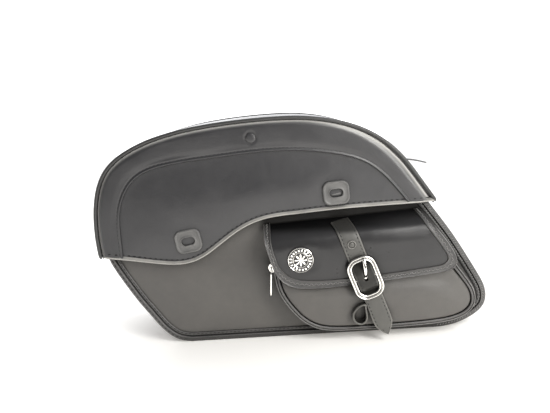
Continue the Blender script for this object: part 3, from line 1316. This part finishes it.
def relief(corners, turned, top, chamfer=0.35):
    """Raised island with a chamfered edge. Corners: radius, angle; turned about the middle."""
    polygon = [(radius * math.cos(turned + angle), radius * math.sin(turned + angle))
               for radius, angle in corners]
    outline = resample(polygon, count=max(24, 4 * len(polygon)), closed=True)
    middle = outline.mean(0)
    spokes = outline - middle
    inner = middle + spokes * (1 - np.minimum(chamfer / lengths(spokes), 0.6))[:, None]
    count = len(outline)
    rings = ((outline, RELIEF_BASE), (outline, top - chamfer), (inner, top),
             (middle[None, :], top + 0.15))
    verts = np.vstack([xyz(BADGE_X + ring[:, 0], BADGE_Y - height, BADGE_Z + ring[:, 1])
                       for ring, height in rings])
    faces = grid_faces(3, count, False, True)
    faces += [(2 * count + i, 2 * count + (i + 1) % count, 3 * count) for i in range(count)]
    faces.append(tuple(range(count)))
    return verts, faces


make("badge_disc", lathe(BADGE_DISC, (BADGE_X, BADGE_Y, BADGE_Z), count=120), "enamel",
     body="flap", replaces=["flap_concho"], sharp=40)
badge_parts = [relief(BADGE_BAR, 2 * math.pi * (k + 0.5) / 20, top=2.2) for k in range(20)]
badge_parts += [relief(PETAL, angle, top=2.5) for angle in turn(8)]
badge_parts.append(relief([(1.9, angle) for angle in turn(16)], 0, top=3.2, chamfer=0.6))
badge_parts += [lathe(circle(0.42, radius, 0, 8), (BADGE_X, BADGE_Y - 1.45, BADGE_Z), count=96,
                      closed=True) for radius in (9.7, 15.9)]
make("badge_relief", merge(badge_parts), "chrome", body="flap", sharp=40)

# ---------------------------------------------------------------- zip
ZIP_Y = -94.0
ZIP_LEFT = (-27.1, 98.4)


def zip_coil():
    """Short rods across the zip, staggered front and back."""
    sides = 8
    pairs = [(2 * k, 2 * ((k + 1) % sides)) for k in range(sides)]
    faces = [(i, j, j + 1, i + 1) for i, j in pairs]
    faces.append(tuple(i for i, _ in pairs))
    faces.append(tuple(i + 1 for i, _ in reversed(pairs)))
    path = resample(run_between(POCKET, ZIP_RIGHT, ZIP_LEFT), 1.5)
    angles = np.repeat(turn(sides), 2)[:, None]
    ends = np.tile([-1.15, 1.15], sides)
    teeth = []
    for i, (point, normal, ahead) in enumerate(zip(path, normals(path), tangents(path))):
        y = ZIP_Y + (0.55 if i % 2 else -0.55)
        spots = point + normal * (0.62 * np.cos(angles) - 0.05) + ahead * 0.52 * np.sin(angles)
        teeth.append((front_plane(*spots.T, y + ends), faces))
    return merge(teeth)


make("zip_coil", zip_coil(), "dark_chrome", body="bag", replaces=["zip_teeth"],
     sharp=50)

# slider frame, as (x, z): its centre, along it and across it
SLIDER_CENTRE = np.array([-27.81, 103.53])
SLIDER_ALONG = np.array([-0.1332, 0.9911])
SLIDER_ACROSS = np.array([0.9911, 0.1332])


def slider_bridge():
    """An arch that stands off to the left, and a pad under each of its ends."""
    arch = np.array([SLIDER_CENTRE + SLIDER_ALONG * (5.6 * math.cos(angle))
                     - SLIDER_ACROSS * (2.0 + 4.9 * math.sin(angle) ** 0.8)
                     for angle in (math.pi * k / 18 for k in range(19))])
    parts = [sweep(arch, rounded_box(-0.75, 0.75, -95.6, -92.4, 0.5, 3))]
    for low, high in ((-6.0, -2.2), (2.4, 6.0)):
        pad = resample([(-1.9, low), (1.6, low), (1.6, high), (-1.9, high)], 0.5, closed=True)
        pad = relax(pad, 3, True)
        middle = pad.mean(0)
        rings = []
        for scale, y in ((0.86, -95.9), (1.0, -95.3), (1.0, -92.2), (0.86, -91.6)):
            ring = middle + (pad - middle) * scale
            spots = SLIDER_CENTRE + ring[:, :1] * SLIDER_ACROSS + ring[:, 1:] * SLIDER_ALONG
            rings.append(front_plane(*spots.T, y))
        parts.append(tube(rings))
    return merge(parts)


make("zip_slider_bridge", slider_bridge(), "chrome", body="slider", sharp=50)

PULL_X, PULL_Y, PULL_Z = -31.6776, ZIP_Y, 103.0130


def pull_half_width(part):
    """Half width at a part of the way down the tab, rounded off at both ends."""
    width = 1.5 + 0.75 * math.exp(-((part - 0.12) / 0.12) ** 2) + 0.75 * smoothstep(part, 0.45, 0.85)
    if part > 0.93:
        width *= math.sqrt(max(0.05, 1 - ((part - 0.93) / 0.075) ** 2))
    if part < 0.04:
        width *= 0.55 + 0.45 * part / 0.04
    return width


def zip_pull():
    """A ring, and a tab that hangs from it."""
    wire = 0.7
    angles = turn(12)
    radii = 3.2 + wire * np.cos(angles)
    ring = tube([xyz(PULL_X + wire * np.sin(angles), PULL_Y + radii * math.sin(a),
                     PULL_Z - 3.2 + radii * math.cos(a)) for a in turn(36)], closed=True)
    right = [(pull_half_width(part), -6.0 - 32.2 * part) for part in np.linspace(0, 1, 24)]
    outline = np.array(right + [(-width, z) for width, z in reversed(right)])
    layers = []
    for depth, inset in ((-0.55, 0.35), (-0.75, 0.0), (0.75, 0.0), (0.95, 0.4)):
        spots = draw_in(outline, inset, outline.mean(0))
        layer = xyz(PULL_X - depth * 0.85, PULL_Y + spots[:, 0], PULL_Z + spots[:, 1])
        layer[:, 0] -= 0.065 * (PULL_Z - layer[:, 2])
        layers.append(layer)
    return merge([ring, tube(layers)])


make("zip_pull_tab", zip_pull(), "chrome", body="pull", replaces=["zip_pull"],
     sharp=40)

# ---------------------------------------------------------------- hinge strip and rear tie
# middle of the strip's thickness, as (z, y)
HINGE = [(217.5, 81.0), (222, 81.1), (228, 81.2), (233, 81.5), (236, 81.9), (239, 81.5),
         (244, 81.2), (250, 81.1), (254.5, 81.0)]
HINGE_LEFT, HINGE_RIGHT = -205, 112


def hinge_shape():
    z, y = resample(catmull(HINGE), 1.2).T
    rings = []
    for x in np.linspace(HINGE_LEFT, HINGE_RIGHT, 60):
        thickness = 1.0 if min(x - HINGE_LEFT, HINGE_RIGHT - x) > 2 else 0.6
        rings.append(np.vstack([xyz(x, y + thickness * 0.95, z),
                                xyz(x, y[::-1] - thickness * 0.9, z[::-1])]))
    return tube(rings)


hinge_strip = make("lid_hinge_strip", hinge_shape(), "leather",
                   replaces=["hinge_leather_lower", "hinge_leather_upper"], sharp=60)
for level, body, z in (("lower", "bag", 221.0), ("upper", "lid", 251.0)):
    hinge_row = np.stack([np.linspace(-200, 107, 120), np.full(120, z)], axis=1)
    sew("hinge_stitches_" + level, [seam_line(hinge_row, 82.05, facing=1.0)], body)

# a bowed tie and a pad below its left end
TIE = [(134, 206.2), (147, 210.5), (160, 213), (182, 215.6), (203, 213.6), (224, 208.2)]
tie = sweep(resample(catmull(TIE, 10), 2.0), rounded_box(-0.1, 1.8, 82.1, 96.8, 0.7, 4), side=-1)
tie_pad = resample(rounded_rect(30, 12.6, 2.5, 8), count=60, closed=True)
tie_pad_rings = [front_plane(*(draw_in(tie_pad, inset) + (127, 200.3)).T, y)
                 for inset, y in ((0, 80.2), (0, 82.0), (0.4, 82.5), (1.0, 82.65))]
make("rear_tie", merge([tie, tube(tie_pad_rings)]), "leather", body="bag",
     replaces=["tie_strap"], sharp=60)


# ---------------------------------------------------------------- shading under the flap and lid
def front_shade(places):
    return smoothstep(places[:, 0], -48, -36) * smoothstep(places[:, 2], 146, 156)


def flap_shade(places):
    return smoothstep(places[:, 2], 147, 156) * (1 - 0.5 * smoothstep(places[:, 0], 60, 160))


def strap_shade(places):
    """Dark over the shoulder and inside the buckle."""
    along = -(places[:, 0] - BAR_X) * STRAP_SIN + (places[:, 2] - BAR_Z) * STRAP_COS
    return np.maximum(0.9 * smoothstep(places[:, 2], 145, 152),
                      0.85 * smoothstep(22.5 - np.abs(along), 0, 2.5))


paint(box_front, "shade", front_shade)
paint(flap_skin, "shade", flap_shade)
paint(strap, "shade", strap_shade)

# ---------------------------------------------------------------- blends across the folds
for piece in (flap_skin, flap_edge, flap_turn, flap_zigzag, strap, strap_stitches):
    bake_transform(piece)
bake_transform(hinge_strip)

# ---------------------------------------------------------------- CAD pieces that stay
FINISHES = {
    "lining": ("base_board", "front_board", "rear_board", "lid_board"),
    "steel": ("mounting_plate", "mounting_grommets", "tie_rivet", "lock_keepers",
              "lock_housings", "lock_cam_left", "lock_cam_right", "lock_screw_left",
              "lock_screw_right", "pocket_snap_stud", "chape_snap_socket"),
    "binding": ("rim_binding",),
    "plastic": ("lock_rotor_left", "lock_rotor_right"),
    "tape": ("zip_tape",),
    "leather": ("zip_strip_front", "zip_strip_rear"),
    "strap": ("buckle_chape",),
    "chrome": ("zip_slider",),
}
SOFT_EDGED = ("rim_binding", "lock_keepers", "lock_cam_left", "lock_cam_right",
              "zip_strip_front", "zip_strip_rear", "base_board", "buckle_chape", "mounting_plate")
for material, names in FINISHES.items():
    for name in names:
        slots = nodes[name].data.materials
        slots.clear()
        slots.append(MATERIALS[material])
for name in SOFT_EDGED:
    bevel = nodes[name].modifiers.new("soft_edge", "BEVEL")
    bevel.width, bevel.segments = 0.0004, 2
    bevel.limit_method, bevel.angle_limit = "ANGLE", math.radians(50)


# ---------------------------------------------------------------- stage, light, camera
def make_floor():
    """Pale floor, which glows less to the camera than to the rest of the scene."""
    reach, front, level = 3.0, -0.78, -0.0004
    mesh = bpy.data.meshes.new("floor")
    mesh.from_pydata([(-reach, front, level), (reach, front, level), (reach, reach, level),
                      (-reach, reach, level)], [], [(0, 1, 2, 3)])
    floor = bpy.data.objects.new("floor", mesh)
    bpy.context.scene.collection.objects.link(floor)
    material, graph = surface("floor_pale")
    colour = graph.ramp(graph.noise(3.0), (0.2, (0.86, 0.855, 0.84)), (0.8, (0.90, 0.895, 0.88)))
    to_camera = graph.node("LightPath").outputs["Is Camera Ray"]
    graph.feed(graph.bsdf, {
        "Base Color": colour, "Roughness": 0.9, "Emission Color": (1.0, 0.955, 0.88, 1),
        "Emission Strength": graph.math("MULTIPLY_ADD", to_camera, -0.62, 0.80)})
    mesh.materials.append(material)


def make_world():
    """Bright behind; in front, light from below and from overhead towards the right."""
    world = bpy.data.worlds.new("studio")
    bpy.context.scene.world = world
    world.use_nodes = True
    graph = Graph(world.node_tree)
    output = graph.node("OutputWorld")
    background = graph.node("Background")
    graph.feed(output, {0: background.outputs[0]})
    direction = graph.node("TexCoord").outputs["Generated"]
    x, y, z = graph.node("SeparateXYZ", {0: direction}).outputs

    def ease(value, low, high):
        return graph.remap(value, low, high, interpolation_type="SMOOTHSTEP")

    def add(first, second):
        return graph.math("ADD", first, second)

    def times(first, second):
        return graph.math("MULTIPLY", first, second)

    def rest(value):
        return graph.math("SUBTRACT", 1.0, value)

    behind = ease(y, 0.02, 0.5)
    below = times(rest(ease(z, -0.24, -0.06)), 1.9)
    overhead = times(ease(z, 0.30, 0.70), add(0.05, times(ease(x, 0.0, 0.5), 1.3)))
    ahead = add(add(0.18, below), overhead)
    strength = add(times(behind, 1.9), times(rest(behind), ahead))
    warm_below, cool_above = (1.0, 0.965, 0.90, 1), (0.97, 0.975, 1.0, 1)
    colour = graph.mix(ease(z, -0.3, 0.1), warm_below, cool_above)
    graph.feed(background, {0: colour, 1: strength})


def area_light(name, location, target, size, power, colour=(1, 1, 1), size_y=None):
    light = bpy.data.lights.new(name, "AREA")
    light.energy, light.size, light.color = power, size, colour
    if size_y:
        light.shape, light.size_y = "RECTANGLE", size_y
    lamp = bpy.data.objects.new(name, light)
    bpy.context.scene.collection.objects.link(lamp)
    lamp.location = location
    lamp.rotation_mode = "QUATERNION"
    lamp.rotation_quaternion = (Vector(target) - Vector(location)).to_track_quat("-Z", "Y")


def make_camera():
    camera = bpy.data.cameras.new("cam")
    camera.sensor_width, camera.lens = 36.0, 36.0
    holder = bpy.data.objects.new("cam", camera)
    bpy.context.scene.collection.objects.link(holder)
    pitch_down, roll = math.radians(11.0), math.radians(3.384)
    forward = Vector((0, math.cos(pitch_down), -math.sin(pitch_down)))
    level = Vector((1, 0, 0))
    upright = level.cross(forward)
    right = level * math.cos(roll) - upright * math.sin(roll)
    up = level * math.sin(roll) + upright * math.cos(roll)
    pose = Matrix((right, up, -forward)).transposed().to_4x4()
    pose.translation = Vector((-0.021972, -0.790863, 0.320329))
    holder.matrix_world = pose
    bpy.context.scene.camera = holder


make_floor()
make_world()
area_light("key_right", location=(0.62, -0.85, 0.62), target=(0.12, -0.1, 0.15), size=0.42,
           power=16, colour=(1.0, 0.985, 0.95), size_y=0.95)
area_light("back_top", location=(-0.5, 0.9, 1.3), target=(0, 0, 0.2), size=1.2, power=14)
make_camera()
view = bpy.context.scene.view_settings
view.view_transform = "Standard"
view.look = "None"
view.exposure = 0.0
